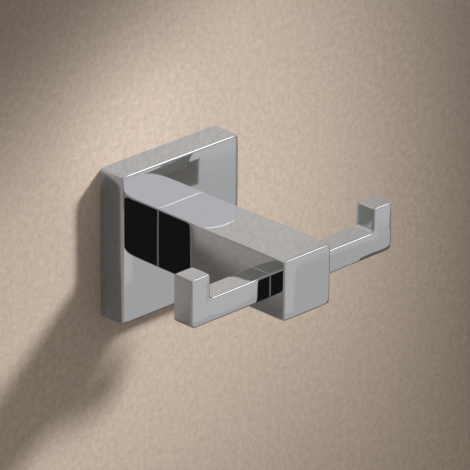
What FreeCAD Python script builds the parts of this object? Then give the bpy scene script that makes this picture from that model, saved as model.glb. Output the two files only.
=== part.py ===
"""Double robe hook with a square base, a square arm and two square upturned hooks.

Millimetres. The origin is the middle of the base on the wall plane. +X runs to the
right along the wall, +Y runs into the wall and +Z runs up, so the arm reaches along -Y.
"""

import FreeCAD, Part
import math
import os
from FreeCAD import Vector

# Base, a square cast cover with an open back
base_side = 50.0
base_depth = 10.0
base_front_wall = 2.5
base_side_wall = 2.5
base_edge_round = 1.1
base_cavity_round = 1.0

# Arm, a square bar that stands out of the base
arm_side = 20.0
arm_reach = 65.0
arm_edge_round = 0.9

# Hooks, one bent square bar on each side of the arm
hook_span = 86.0
bar_side = 8.0
bar_setback = 6.0
finger_height = 16.0
bar_edge_round = 0.75
hook_inner_round = 1.2
hook_outer_round = 1.6

# Joints between the chromed pieces
seam_chamfer = 0.25
fit_gap = 0.05
tenon_side = 10.0
tenon_drawback = 0.5
spigot_side = 5.0
spigot_length = 7.0
spigot_lead = 0.4
mortise_relief = 0.3

# Screw that draws the arm onto the base, with its two washers
arm_screw_diameter = 6.0
arm_screw_length = 12.0
arm_screw_head_diameter = 10.5
arm_screw_head_height = 3.3
arm_screw_head_rim = 0.8
arm_screw_neck_diameter = 4.8
arm_screw_neck = 1.2
arm_screw_point = 4.8
arm_screw_tip = 0.6
arm_screw_hex = 4.0
arm_screw_hex_depth = 2.0
arm_hole_spare = 2.0
washer_hole_gap = 0.2
clamp_washer_diameter = 18.0
clamp_washer_thickness = 1.5
clamp_washer_chamfer = 0.3
spring_washer_width = 2.4
spring_washer_thickness = 1.6
spring_washer_split = 1.0
spring_washer_slant = 25.0

# Wall bracket, a folded steel plate that the base hangs on
bracket_thickness = 2.0
bracket_bend = 1.0
bracket_side_room = 0.5
bracket_front_room = 1.5
bracket_drop_room = 2.0
bracket_corner_round = 1.0
bracket_head_gap = 1.75

# Two wall screws in upright slots of the bracket
wall_screw_diameter = 4.0
wall_screw_length = 30.0
wall_screw_tip = 5.0
wall_screw_point = 0.5
wall_screw_neck_diameter = 3.2
wall_screw_neck_spare = 0.3
wall_screw_head_diameter = 8.0
wall_screw_head_height = 2.8
wall_screw_head_rim = 0.7
cross_recess_width = 1.1
cross_recess_span = 4.6
cross_recess_depth = 1.5
slot_side_gap = 0.5
slot_travel = 3.0

# Set screw through the underside of the base
set_screw_diameter = 4.0
set_screw_length = 4.0
set_screw_point = 2.4
set_screw_cone = 0.8
set_screw_hex = 2.0
set_screw_hex_depth = 1.8

# Places that follow from the sizes above
arm_front = -arm_reach
base_front = -base_depth
cavity_front = base_front + base_front_wall
cavity_half = base_side / 2 - base_side_wall
bar_front = arm_front + bar_setback
bar_centre = bar_front + bar_side / 2
arm_half = arm_side / 2
span_half = hook_span / 2
tenon_back = cavity_front - tenon_drawback
arm_screw_seat = cavity_front + clamp_washer_thickness + spring_washer_thickness
bracket_half = cavity_half - base_cavity_round - bracket_side_room
head_hole_radius = arm_screw_head_diameter / 2 + bracket_head_gap
wall_screw_place = (head_hole_radius + bracket_half) / 2
flange_front = cavity_front + bracket_front_room
flange_low = -cavity_half + bracket_drop_room
set_screw_place = (flange_front - bracket_thickness - bracket_bend) / 2


def block(x_range, y_range, z_range):
    """A rectangular block between two values on each axis."""
    size = [high - low for low, high in (x_range, y_range, z_range)]
    corner = Vector(x_range[0], y_range[0], z_range[0])
    return Part.makeBox(*size, corner)


def square_bar(side, y_range, x=0.0, z=0.0):
    """A square bar that runs along Y."""
    half = side / 2
    return block((x - half, x + half), y_range, (z - half, z + half))


def edges_off_plane(shape, axis, value):
    """The edges that don't lie wholly on the plane where the named axis has that value."""
    def on_plane(edge):
        box = edge.BoundBox
        low, high = getattr(box, axis + "Min"), getattr(box, axis + "Max")
        return abs(low - value) < 1e-4 and abs(high - value) < 1e-4
    return [edge for edge in shape.Edges if not on_plane(edge)]


def edges_on_plane(shape, axis, value):
    """The edges that lie wholly on that plane."""
    off = edges_off_plane(shape, axis, value)
    return [edge for edge in shape.Edges if not any(edge.isSame(other) for other in off)]


def edges_along(shape, axis):
    """The straight edges that run along the named axis."""
    direction = {"X": Vector(1, 0, 0), "Y": Vector(0, 1, 0), "Z": Vector(0, 0, 1)}[axis]
    def runs_along(edge):
        if not isinstance(edge.Curve, Part.Line):
            return False
        return abs(abs(edge.Curve.Direction.dot(direction)) - 1) < 1e-6
    return [edge for edge in shape.Edges if runs_along(edge)]


def turned(outline):
    """A solid turned about Z from an outline of radius and height pairs.

    A stretch of three pairs in a list is an arc through its middle pair.
    """
    edges = []
    for stretch in outline:
        points = [Vector(radius, 0, height) for radius, height in stretch]
        if len(points) == 3:
            edges.append(Part.Arc(*points).toShape())
        else:
            edges.append(Part.LineSegment(*points).toShape())
    face = Part.Face(Part.Wire(edges))
    return face.revolve(Vector(0, 0, 0), Vector(0, 0, 1), 360)


def hex_socket(across_flats, depth):
    """A six-sided hole tool that stands on the XY plane and goes down along -Z."""
    radius = across_flats / math.sqrt(3)
    angles = [math.radians(60 * step) for step in range(7)]
    corners = [Vector(radius * math.cos(a), radius * math.sin(a), 0) for a in angles]
    return Part.Face(Part.makePolygon(corners)).extrude(Vector(0, 0, -depth))


def turned_to(shape, direction, place):
    """Turns a shape that stands along +Z to another direction and moves it to its place."""
    shape.Placement = FreeCAD.Placement(place, FreeCAD.Rotation(Vector(0, 0, 1), direction))
    return shape


def make_base_cover():
    """The square cover: rounded front, open back, a square hole for the arm's tenon."""
    half = base_side / 2
    cover = block((-half, half), (base_front, 0), (-half, half))
    cover = cover.makeFillet(base_edge_round, edges_off_plane(cover, "Y", 0))
    cavity = square_bar(2 * cavity_half, (cavity_front, 0))
    cavity = cavity.makeFillet(base_cavity_round, edges_along(cavity, "Y"))
    tenon_hole = square_bar(tenon_side + 2 * fit_gap, (base_front, cavity_front))
    screw_hole = Part.makeCylinder(
        set_screw_diameter / 2 + fit_gap,
        half - cavity_half,
        Vector(0, set_screw_place, -half),
    )
    return cover.cut([cavity, tenon_hole, screw_hole])


def make_arm():
    """The arm: a tenon and a tapped hole at the wall end, a mortise in each side."""
    bar = square_bar(arm_side, (arm_front, base_front))
    bar = bar.makeFillet(arm_edge_round, edges_off_plane(bar, "Y", base_front))
    bar = bar.makeChamfer(seam_chamfer, edges_on_plane(bar, "Y", base_front))
    arm = bar.fuse(square_bar(tenon_side, (base_front, tenon_back)))
    depth = arm_screw_length - (arm_screw_seat - tenon_back) + arm_hole_spare
    radius = arm_screw_diameter / 2 + fit_gap
    tapped_hole = turned([
        [(0, 0), (radius, 0)],
        [(radius, 0), (radius, depth)],
        [(radius, depth), (0, depth + radius / math.sqrt(3))],
        [(0, depth + radius / math.sqrt(3)), (0, 0)],
    ])
    cuts = [turned_to(tapped_hole, Vector(0, -1, 0), Vector(0, tenon_back, 0))]
    mortise_half = spigot_side / 2 + fit_gap
    mortise_end = arm_half - spigot_length - mortise_relief
    y_range = (bar_centre - mortise_half, bar_centre + mortise_half)
    for x_range in ((-arm_half, -mortise_end), (mortise_end, arm_half)):
        cuts.append(block(x_range, y_range, (-mortise_half, mortise_half)))
    return arm.cut(cuts).removeSplitter()


def hook_outline():
    """The bent bar seen from the front, with a round inside and outside its corner."""
    half = bar_side / 2
    tip = finger_height - half
    outer, inner = hook_outer_round, hook_inner_round
    lean = 1 - math.sqrt(0.5)
    def at(x, z):
        return Vector(x, bar_front, z)
    inside = span_half - bar_side
    lines = [
        (at(arm_half, -half), at(span_half - outer, -half)),
        (at(span_half, outer - half), at(span_half, tip)),
        (at(span_half, tip), at(inside, tip)),
        (at(inside, tip), at(inside, half + inner)),
        (at(inside - inner, half), at(arm_half, half)),
        (at(arm_half, half), at(arm_half, -half)),
    ]
    arcs = [
        (lines[0][1], at(span_half - outer * lean, outer * lean - half), lines[1][0]),
        (lines[3][1], at(inside - inner * lean, half + inner * lean), lines[4][0]),
    ]
    edges = [Part.LineSegment(*ends).toShape() for ends in lines]
    edges += [Part.Arc(*points).toShape() for points in arcs]
    return Part.Face(Part.Wire(Part.__sortEdges__(edges)))


def make_hook_right():
    """The right hook: a square bar bent upwards, with a spigot for the arm's mortise."""
    bar = hook_outline().extrude(Vector(0, bar_side, 0))
    bar = bar.makeFillet(bar_edge_round, edges_off_plane(bar, "X", arm_half))
    bar = bar.makeChamfer(seam_chamfer, edges_on_plane(bar, "X", arm_half))
    half = spigot_side / 2
    spigot = block(
        (arm_half - spigot_length, arm_half),
        (bar_centre - half, bar_centre + half),
        (-half, half),
    )
    tip_edges = edges_on_plane(spigot, "X", arm_half - spigot_length)
    return bar.fuse(spigot.makeChamfer(spigot_lead, tip_edges)).removeSplitter()


def make_hook_left():
    """The left hook, the mirror image of the right one."""
    return make_hook_right().mirror(Vector(0, 0, 0), Vector(1, 0, 0))


def make_clamp_washer():
    """The wide washer that bridges the tenon hole on the inside of the base."""
    inner = arm_screw_diameter / 2 + washer_hole_gap
    outer = clamp_washer_diameter / 2
    top, trim = clamp_washer_thickness, clamp_washer_chamfer
    washer = turned([
        [(inner, 0), (outer, 0)],
        [(outer, 0), (outer, top - trim)],
        [(outer, top - trim), (outer - trim, top)],
        [(outer - trim, top), (inner, top)],
        [(inner, top), (inner, 0)],
    ])
    return turned_to(washer, Vector(0, 1, 0), Vector(0, cavity_front, 0))


def make_spring_washer():
    """The split spring washer, pressed flat, with its slanted gap."""
    inner = arm_screw_diameter / 2 + washer_hole_gap
    outer = inner + spring_washer_width
    ring = Part.makeCylinder(outer, spring_washer_thickness)
    ring = ring.cut(Part.makeCylinder(inner, spring_washer_thickness))
    half_gap = spring_washer_split / 2
    gap = block((0, 2 * outer), (-half_gap, half_gap), (-outer, outer))
    gap.rotate(Vector(0, 0, spring_washer_thickness / 2), Vector(1, 0, 0), spring_washer_slant)
    seat = Vector(0, cavity_front + clamp_washer_thickness, 0)
    return turned_to(ring.cut(gap), Vector(0, 1, 0), seat)


def domed_screw(shank, head, rim, neck, tip):
    """A screw with a domed head that stands on the XY plane and a shank along -Z.

    Each argument but rim, the straight edge of the head, is a diameter and a length.
    """
    radius, length = shank[0] / 2, shank[1]
    head_radius, head_height = head[0] / 2, head[1]
    neck_radius, neck_end = neck[0] / 2, -neck[1]
    tip_radius, tip_start = tip[0] / 2, tip[1] - length
    dome = head_height - rim
    sphere = (head_radius ** 2 + dome ** 2) / (2 * dome)
    half_angle = math.asin(head_radius / sphere) / 2
    crown = sphere * math.sin(half_angle)
    rise = head_height - sphere * (1 - math.cos(half_angle))
    return turned([
        [(0, -length), (tip_radius, -length)],
        [(tip_radius, -length), (radius, tip_start)],
        [(radius, tip_start), (radius, neck_end)],
        [(radius, neck_end), (neck_radius, neck_end)],
        [(neck_radius, neck_end), (neck_radius, 0)],
        [(neck_radius, 0), (head_radius, 0)],
        [(head_radius, 0), (head_radius, rim)],
        [(head_radius, rim), (crown, rise), (0, head_height)],
        [(0, head_height), (0, -length)],
    ])


def make_arm_screw():
    """The button-headed screw that holds arm, base and washers together."""
    screw = domed_screw(
        (arm_screw_diameter, arm_screw_length),
        (arm_screw_head_diameter, arm_screw_head_height),
        arm_screw_head_rim,
        (arm_screw_neck_diameter, arm_screw_neck),
        (arm_screw_point, arm_screw_tip),
    )
    socket = hex_socket(arm_screw_hex, arm_screw_hex_depth)
    socket.translate(Vector(0, 0, arm_screw_head_height))
    return turned_to(screw.cut(socket), Vector(0, 1, 0), Vector(0, arm_screw_seat, 0))


def folded_plate():
    """A flat plate with a flange folded forward at its top and bottom."""
    outer = bracket_bend + bracket_thickness
    low, high = flange_low, cavity_half
    plate = block((-bracket_half, bracket_half), (flange_front, 0), (low, high))
    back_edges = [
        edge for edge in edges_along(plate, "X") if abs(edge.BoundBox.YMax) < 1e-4
    ]
    plate = plate.makeFillet(outer, back_edges)
    hollow = block(
        (-bracket_half, bracket_half),
        (flange_front, -bracket_thickness),
        (low + bracket_thickness, high - bracket_thickness),
    )
    inner_edges = [
        edge for edge in edges_along(hollow, "X")
        if abs(edge.BoundBox.YMax + bracket_thickness) < 1e-4
    ]
    return plate.cut(hollow.makeFillet(bracket_bend, inner_edges))


def make_wall_bracket():
    """The folded bracket with a clearance hole and two slots for the wall screws."""
    bracket = folded_plate()
    corners = [
        edge for edge in edges_along(bracket, "Z")
        if abs(edge.BoundBox.YMax - flange_front) < 1e-4
    ]
    bracket = bracket.makeFillet(bracket_corner_round, corners)
    depth = (-bracket_thickness, 0)
    def drill(radius, x, z):
        start = Vector(x, -bracket_thickness, z)
        return Part.makeCylinder(radius, bracket_thickness, start, Vector(0, 1, 0))
    cuts = [drill(head_hole_radius, 0, 0)]
    slot_radius = wall_screw_diameter / 2 + slot_side_gap
    ends = (-slot_travel / 2, slot_travel / 2)
    for place in (-wall_screw_place, wall_screw_place):
        cuts.append(block((place - slot_radius, place + slot_radius), depth, ends))
        cuts += [drill(slot_radius, place, end) for end in ends]
    return bracket.cut(cuts).removeSplitter()


def cross_recess():
    """The tapered cross in a screw head, cut down along -Z from the XY plane."""
    wide, narrow = cross_recess_width / 2, cross_recess_width / 3
    span, floor = cross_recess_span / 2, cross_recess_span / 4
    def rim(half_x, half_y, height):
        signs = ((-1, -1), (1, -1), (1, 1), (-1, 1), (-1, -1))
        return Part.makePolygon([Vector(a * half_x, b * half_y, height) for a, b in signs])
    bar = Part.makeLoft([rim(span, wide, 0), rim(floor, narrow, -cross_recess_depth)], True, True)
    across = bar.copy()
    across.rotate(Vector(0, 0, 0), Vector(0, 0, 1), 90)
    return bar.fuse(across)


def make_wall_screw(side):
    """One wall screw with a domed head on the bracket's front face."""
    screw = domed_screw(
        (wall_screw_diameter, wall_screw_length),
        (wall_screw_head_diameter, wall_screw_head_height),
        wall_screw_head_rim,
        (wall_screw_neck_diameter, bracket_thickness + wall_screw_neck_spare),
        (wall_screw_point, wall_screw_tip),
    )
    recess = cross_recess()
    recess.translate(Vector(0, 0, wall_screw_head_height))
    place = Vector(side * wall_screw_place, -bracket_thickness, 0)
    return turned_to(screw.cut(recess), Vector(0, -1, 0), place)


def make_set_screw():
    """The small socket screw that grips the bracket's lower flange from below."""
    radius, point = set_screw_diameter / 2, set_screw_point / 2
    cone, length = set_screw_cone, set_screw_length
    screw = turned([
        [(0, 0), (point, 0)],
        [(point, 0), (radius, cone)],
        [(radius, cone), (radius, length)],
        [(radius, length), (0, length)],
        [(0, length), (0, 0)],
    ])
    socket = hex_socket(set_screw_hex, set_screw_hex_depth)
    socket.translate(Vector(0, 0, length))
    place = Vector(0, set_screw_place, flange_low)
    return turned_to(screw.cut(socket), Vector(0, 0, -1), place)


def build():
    """Every piece of the hook by the name of its node."""
    return {
        "base_cover": make_base_cover(),
        "arm": make_arm(),
        "hook_left": make_hook_left(),
        "hook_right": make_hook_right(),
        "clamp_washer": make_clamp_washer(),
        "spring_washer": make_spring_washer(),
        "arm_screw": make_arm_screw(),
        "wall_bracket": make_wall_bracket(),
        "wall_screw_left": make_wall_screw(-1),
        "wall_screw_right": make_wall_screw(1),
        "set_screw": make_set_screw(),
    }


os.makedirs("parts", exist_ok=True)
for node, shape in build().items():
    if shape.ShapeType != "Solid":
        shape = shape.Solids[0]
    shape.exportStep(f"parts/{node}.step")
    print(node, round(shape.Volume, 2), shape.isValid())
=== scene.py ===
"""Looks for the double robe hook: bright chrome on a square base, arm and hooks.

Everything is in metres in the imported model's frame: the wall is the plane y = 0, +Z is
up and the arm reaches along -Y. The file is laid out as an add-on and runs as a script.
"""

import math
from functools import partial

import bmesh
import bpy
from bmesh import ops
from bpy.props import FloatProperty, FloatVectorProperty, PointerProperty
from mathutils import Matrix, Vector


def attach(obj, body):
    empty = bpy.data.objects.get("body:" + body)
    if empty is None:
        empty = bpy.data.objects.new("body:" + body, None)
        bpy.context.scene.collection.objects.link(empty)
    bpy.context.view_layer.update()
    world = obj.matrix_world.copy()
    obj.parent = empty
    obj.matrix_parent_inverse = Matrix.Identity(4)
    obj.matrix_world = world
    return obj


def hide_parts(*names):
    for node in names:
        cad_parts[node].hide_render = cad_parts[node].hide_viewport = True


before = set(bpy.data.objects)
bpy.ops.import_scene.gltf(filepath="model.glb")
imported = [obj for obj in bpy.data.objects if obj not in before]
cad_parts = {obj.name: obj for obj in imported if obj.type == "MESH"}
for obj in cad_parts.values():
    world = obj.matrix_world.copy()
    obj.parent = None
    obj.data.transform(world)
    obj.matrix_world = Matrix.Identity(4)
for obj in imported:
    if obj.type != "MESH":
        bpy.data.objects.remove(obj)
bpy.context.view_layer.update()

bl_info = {
    "name": "Double robe hook",
    "version": (1, 0, 0),
    "blender": (4, 5, 0),
    "location": "3D View > Sidebar > Robe Hook",
    "description": "Builds the finished pieces of a chrome double robe hook and its studio",
    "category": "Object",
}

MM = 0.001
BODY = "root"


# Sizes and colours that a user would change

def length(name, millimetres):
    """A length property with its default in millimetres."""
    return FloatProperty(
        name=name, default=millimetres * MM, min=0.0, unit="LENGTH", precision=5
    )


def linear(hex_colour):
    """An sRGB hex colour as linear red, green and blue."""
    def channel(value):
        value /= 255
        if value <= 0.04045:
            return value / 12.92
        return ((value + 0.055) / 1.055) ** 2.4
    digits = hex_colour.lstrip("#")
    return tuple(channel(int(digits[i:i + 2], 16)) for i in (0, 2, 4))


def colour(name, hex_colour):
    """A colour property with its default given as an sRGB hex value."""
    return FloatVectorProperty(
        name=name, subtype="COLOR", size=3, min=0.0, max=1.0, default=linear(hex_colour)
    )


class RobeHookShape(bpy.types.PropertyGroup):
    """Sizes of the polished edges and of the threads."""

    base_round: length("Radius of the base's edges", 0.8)
    arm_round: length("Radius of the arm's edges", 0.6)
    bar_round: length("Radius of the hooks' edges", 0.55)
    edge_fall: length("How far buffing sinks the base's edges", 0.16)
    edge_reach: length("How far in that fades", 1.3)
    arm_fall: length("How far buffing sinks the arm's edges", 0.1)
    arm_reach: length("How far in that fades", 1.5)
    bar_fall: length("How far buffing sinks the hooks' edges", 0.1)
    bar_reach: length("How far in that fades", 0.8)
    crown: length("How far the base's face bows out", 0.05)
    arm_crown: length("How far the arm's faces bow out", 0.02)
    bar_crown: length("How far the hooks' faces bow out", 0.01)
    seam: length("Radius of the edges where arm and hooks join", 0.3)
    wall_pitch: length("Pitch of the wall screws' thread", 1.8)
    arm_screw_pitch: length("Pitch of the arm screw's thread", 1.0)
    set_screw_pitch: length("Pitch of the set screw's thread", 0.7)


class RobeHookFinish(bpy.types.PropertyGroup):
    """Colours of the metals, two where a plating varies."""

    chrome: colour("Chromium plate seen face on", "#EEF0F3")
    zinc: colour("Bright zinc plate on the screws", "#C6C9CC")
    zinc_blue: colour("Its bluish passivation", "#AEB4BF")
    sheet: colour("Zinc-plated pressed sheet", "#BCBEBD")
    sheet_dull: colour("Its duller patches", "#ACAEAD")
    spring: colour("Phosphated spring steel", "#64635F")
    spring_dark: colour("Its darker crystals", "#474748")
    black: colour("Oiled black oxide", "#2A2A2D")
    black_brown: colour("Its brownish places", "#2B2320")


class RobeHookStage(bpy.types.PropertyGroup):
    """The wall with its painted light and shade, the floor, the cards and the lamp."""

    wall: colour("Plaster of the wall", "#D9C8B8")
    # Painted reflections: the wall's lower left and upper right as only the metal sees them
    painted_reflection_low: colour("Its lower left as metal sees it", "#96918D")
    painted_reflection_high: colour("Its upper right as metal sees it", "#7C7975")
    # Painted dark spots on the wall that only the metal sees
    painted_dark_spot: colour("Dim cards on it as metal sees them", "#808178")
    # A painted glow on the wall that only the metal sees, in place of stray light
    painted_glow_strength: FloatProperty(name="Stray light that metal sees on it", default=0.31)
    cloth_low: colour("Glow of the side panel's lower part", "#A9A8A7")
    cloth_high: colour("Glow of both panels' upper part", "#B6B5B5")
    cloth_near: colour("Glow of the smaller panel's lower part", "#B6B5B5")
    cloth_dark: colour("Dark scrap that the base mirrors", "#65625B")
    cloth_dark_high: colour("Its upper part", "#605C5A")
    flag: colour("Grey cloth of the left card", "#8A8785")
    # Painted black shade that the flag shows only to rays that have met the metal twice
    flag_painted_black: colour("Its black felt, in corners of the metal", "#131314")
    floor: colour("The plain floor", "#DDD8D0")
    key_power: FloatProperty(name="Power of the lamp", default=118.0, min=0.0, unit="POWER")
    key_angle: FloatProperty(
        name="Opening angle of the lamp", default=math.radians(11.0), subtype="ANGLE"
    )


# Materials

NOISE_SPAN = (0.3, 0.7)  # where nearly all values of a noise lie
WHOLE = (0.0, 1.0)


def add_node(tree, kind, settings=None):
    """Adds a shader node, sets its fields and inputs, and links inputs to given outputs."""
    node = tree.nodes.new("ShaderNode" + kind)
    for name, value in (settings or {}).items():
        if isinstance(value, bpy.types.NodeSocket):
            tree.links.new(value, node.inputs[name])
        elif isinstance(name, int) or name in node.inputs:
            socket = node.inputs[name]
            socket.default_value = (*value, 1.0) if socket.type == "RGBA" else value
        else:
            setattr(node, name, value)
    return node


def new_material(name):
    """An empty node material."""
    material = bpy.data.materials.new(name)
    material.use_nodes = True
    material.node_tree.nodes.clear()
    return material, material.node_tree


def show(tree, shader, kind="OutputMaterial"):
    """Makes a shader the surface of its material or world."""
    add_node(tree, kind, {"Surface": shader.outputs[0]})


def mixed(tree, share, first, second):
    """Two shaders mixed by a share."""
    settings = {0: share, 1: first.outputs[0], 2: second.outputs[0]}
    return add_node(tree, "MixShader", settings)


def object_place(tree):
    """Where a point lies on its own object, in metres."""
    return add_node(tree, "TexCoord").outputs["Object"]


def noise(tree, place, scale, detail=2.0, roughness=0.5):
    """A cloudy pattern with so many cells to the metre."""
    settings = {"Vector": place, "Scale": scale, "Detail": detail, "Roughness": roughness}
    return add_node(tree, "TexNoise", settings).outputs["Fac"]


def remap(tree, value, source, target, interpolation="LINEAR"):
    """Turns one range of values into another and holds it at the ends."""
    settings = {
        "interpolation_type": interpolation, "Value": value,
        "From Min": source[0], "From Max": source[1],
        "To Min": target[0], "To Max": target[1],
    }
    return add_node(tree, "MapRange", settings).outputs["Result"]


def blend(tree, share, first, second):
    """Mixes two colours by a share."""
    settings = {"data_type": "RGBA", 0: share, 6: first, 7: second}
    return add_node(tree, "Mix", settings).outputs[2]


def along(tree, place, direction):
    """How far a place lies along a direction."""
    settings = {"operation": "DOT_PRODUCT", 0: place, 1: direction}
    return add_node(tree, "VectorMath", settings).outputs["Value"]


def away(tree, place, centre):
    """How far a place lies from a centre."""
    settings = {"operation": "DISTANCE", 0: place, 1: centre}
    return add_node(tree, "VectorMath", settings).outputs["Value"]


def eased(tree, measure, place, gradient):
    """A level from a gradient: its direction or centre, its two ends and two levels."""
    origin, reach, levels = gradient
    return remap(tree, measure(tree, place, origin), reach, levels, "SMOOTHSTEP")


def times(tree, first, second):
    """The product of two values."""
    settings = {"operation": "MULTIPLY", 0: first, 1: second}
    return add_node(tree, "Math", settings).outputs["Value"]


def scaled(tree, shade, level):
    """A colour at a level."""
    settings = {"operation": "SCALE", 0: shade, "Scale": level}
    return add_node(tree, "VectorMath", settings).outputs["Vector"]


def relief(tree, height, depth):
    """The normal that a height pattern of that depth gives."""
    settings = {"Strength": 1.0, "Distance": depth, "Height": height}
    return add_node(tree, "Bump", settings).outputs["Normal"]


def stretched(tree, place, scale):
    """A place with its axes scaled each by its own number."""
    return add_node(tree, "Mapping", {"Vector": place, "Scale": scale}).outputs["Vector"]


def bright_chrome(name, base_colour, peel, marks):
    """Chromium plate over polished metal: a near mirror with a breath of blue.

    The peel is how far apart its faint waves are, and the marks are the last polishing
    strokes, as a stretch of their pattern on each axis.
    """
    peel_flatness = 2600
    gloss = (0.02, 0.06)
    material, tree = new_material(name)
    place = object_place(tree)
    waves = noise(tree, place, 1 / peel)
    strokes = noise(tree, stretched(tree, place, marks), 1.0, 6.0, 0.7)
    show(tree, add_node(tree, "BsdfPrincipled", {
        "Base Color": base_colour,
        "Metallic": 1.0,
        "Roughness": remap(tree, strokes, NOISE_SPAN, gloss),
        "Normal": relief(tree, waves, peel / peel_flatness),
    }))
    return material


def plated_steel(name, colours, patch, grain, roughness, depth):
    """Steel under a thin coat: two tones in soft patches, and a fine grain in its gloss.

    The grain has its size on each axis, so that a rolled sheet can have lines.
    """
    patch_span = (0.35, 0.65)
    material, tree = new_material(name)
    place = object_place(tree)
    share = remap(tree, noise(tree, place, 1 / patch, 4.0), patch_span, WHOLE)
    grained = stretched(tree, place, [1 / size for size in grain])
    lines = noise(tree, grained, 1.0, 5.0, 0.65)
    show(tree, add_node(tree, "BsdfPrincipled", {
        "Base Color": blend(tree, share, colours[0], colours[1]),
        "Metallic": 1.0,
        "Roughness": remap(tree, lines, NOISE_SPAN, roughness),
        "Normal": relief(tree, lines, depth),
    }))
    return material


# Each chromed metal: how far apart its waves are, in millimetres, and its marks
CHROMED = {
    # The casting's skin waves a little wider, so reflections in the base breathe slowly
    "chrome_on_cast_zinc": (3.5, (900.0, 900.0, 160.0)),
    # Drawn bar is truer: tighter, fainter waves, and strokes that run along the arm
    "chrome_on_brass_bar": (2.2, (900.0, 140.0, 900.0)),
}
# Each plated metal: two colours, its patches and grain in millimetres, the range of its
# roughness, and the depth of its grain in millimetres
PLATED = {
    # Silvery with a bluish cast, and a soft sparkle on heads and threads
    "bright_zinc_plate": ("zinc", "zinc_blue", 2.5, (0.25, 0.25, 0.25), (0.2, 0.38), 0.004),
    # Rolling lines run across the bracket and break its highlights into streaks
    "zinc_plated_sheet": ("sheet", "sheet_dull", 6.0, (4.0, 0.2, 0.2), (0.26, 0.46), 0.006),
    # A dull dark grey crystal coat that drinks the light
    "phosphated_spring_steel": (
        "spring", "spring_dark", 1.0, (0.12, 0.12, 0.12), (0.45, 0.62), 0.005
    ),
    # Almost black with a warm brown tinge and an oily, even gloss
    "oiled_black_oxide": (
        "black", "black_brown", 1.2, (0.15, 0.15, 0.15), (0.3, 0.42), 0.003
    ),
}


def metal(name):
    """The metal of that name, made when a piece first asks for it."""
    if name in bpy.data.materials:
        return bpy.data.materials[name]
    finish = bpy.context.scene.robe_hook_finish
    if name in CHROMED:
        peel, marks = CHROMED[name]
        return bright_chrome(name, finish.chrome, peel * MM, marks)
    first, second, patch, grain, roughness, depth = PLATED[name]
    colours = (getattr(finish, first), getattr(finish, second))
    grain = [size * MM for size in grain]
    return plated_steel(name, colours, patch * MM, grain, roughness, depth * MM)


# Gradients of painted light and shade on the wall, in metres from the middle of the base

# Painted shade on the wall in two directions, each with where it starts and ends and its
# two
# levels: darker to the right, and darker in the upper left
PAINTED_WALL_SHADES = (
    ((2.645, 0.0, 1.23), (0.0996, 0.4896), (1.0, 0.35)),
    ((1.424, 0.0, -3.076), (-0.34, -0.11), (0.41, 1.0)),
)
# A painted pool of lamplight: its middle, its inner and outer radius, and the level at both
PAINTED_LAMP_POOL = ((-0.0145, 0.0, 0.0334), (0.008, 0.042), (1.09, 0.92))
# Painted reflections for the metal: the slope from the low to the high tone, and the fade
# of the painted glow to the right
PAINTED_REFLECTION_SLOPE = ((1.0, 0.0, 1.2), (-0.006, 0.012), (0.07, 1.0))
PAINTED_GLOW_FADE = ((1.0, 0.0, 0.0), (0.058, 0.212), (1.0, 0.0))
# Painted dark spots in the metal's view of the wall: middle, inner and outer radius
PAINTED_DARK_SPOTS = (
    ((0.066, 0.0, -0.036), (0.038, 0.060)),
    ((-0.070, 0.0, 0.045), (0.020, 0.036)),
)
# Colour of the painted glow that only the metal sees on the wall
PAINTED_GLOW_COLOUR = "#FFFAF6"


def wall_with_painted_shade(tree, place, wall):
    """The wall's colour with a painted pool of lamplight and painted shade round it."""
    level = eased(tree, away, place, PAINTED_LAMP_POOL)
    for gradient in PAINTED_WALL_SHADES:
        level = times(tree, level, eased(tree, along, place, gradient))
    return scaled(tree, wall, level)


def plaster_with_painted_reflections(name, stage):
    """Painted plaster, mottled by its float, seen from the room and clear from behind.

    To the room it shows painted shade round a painted pool of lamplight. The metal sees
    painted reflections in greyer tones of its own: a low one, a high one with a painted
    glow in place of stray light, fading to the right, and two painted dark spots.
    """
    mottle_levels = (0.7, 1.26)
    material, tree = new_material(name)
    place = object_place(tree)
    seen_by_metal = add_node(tree, "LightPath").outputs["Is Glossy Ray"]
    mottle = noise(tree, place, 1 / (2.2 * MM), 8.0, 0.9)
    tone = remap(tree, mottle, NOISE_SPAN, mottle_levels)
    # Painted reflections: the metal sees the wall in a low tone to the lower left and a
    # high one to the upper right
    high = eased(tree, along, place, PAINTED_REFLECTION_SLOPE)
    direction, reach, levels = PAINTED_GLOW_FADE
    fade = remap(tree, along(tree, place, direction), reach, levels)
    painted_reflection = blend(tree, high, stage.painted_reflection_low, stage.painted_reflection_high)
    # A painted glow that only the metal sees, where the high tone is, fading to the right
    painted_glow_share = times(tree, times(tree, times(tree, tone, high), fade), seen_by_metal)
    # Two painted dark spots in the metal's view of the wall, which also dim the painted
    # glow
    for card in PAINTED_DARK_SPOTS:
        beyond = eased(tree, away, place, (*card, WHOLE))
        painted_reflection = blend(tree, beyond, stage.painted_dark_spot, painted_reflection)
        painted_glow_share = times(tree, painted_glow_share, beyond)
    # The room sees the wall with painted shade, the metal sees its painted reflections
    tint = blend(tree, seen_by_metal, wall_with_painted_shade(tree, place, stage.wall), painted_reflection)
    paint = add_node(tree, "BsdfDiffuse", {"Color": scaled(tree, tint, tone)})
    glow = add_node(tree, "Emission", {
        "Color": linear(PAINTED_GLOW_COLOUR),
        "Strength": times(tree, painted_glow_share, stage.painted_glow_strength),
    })
    front = add_node(tree, "AddShader", {0: paint.outputs[0], 1: glow.outputs[0]})
    clear = add_node(tree, "BsdfTransparent")
    behind = add_node(tree, "NewGeometry").outputs["Backfacing"]
    show(tree, mixed(tree, behind, front, clear))
    return material


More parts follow.
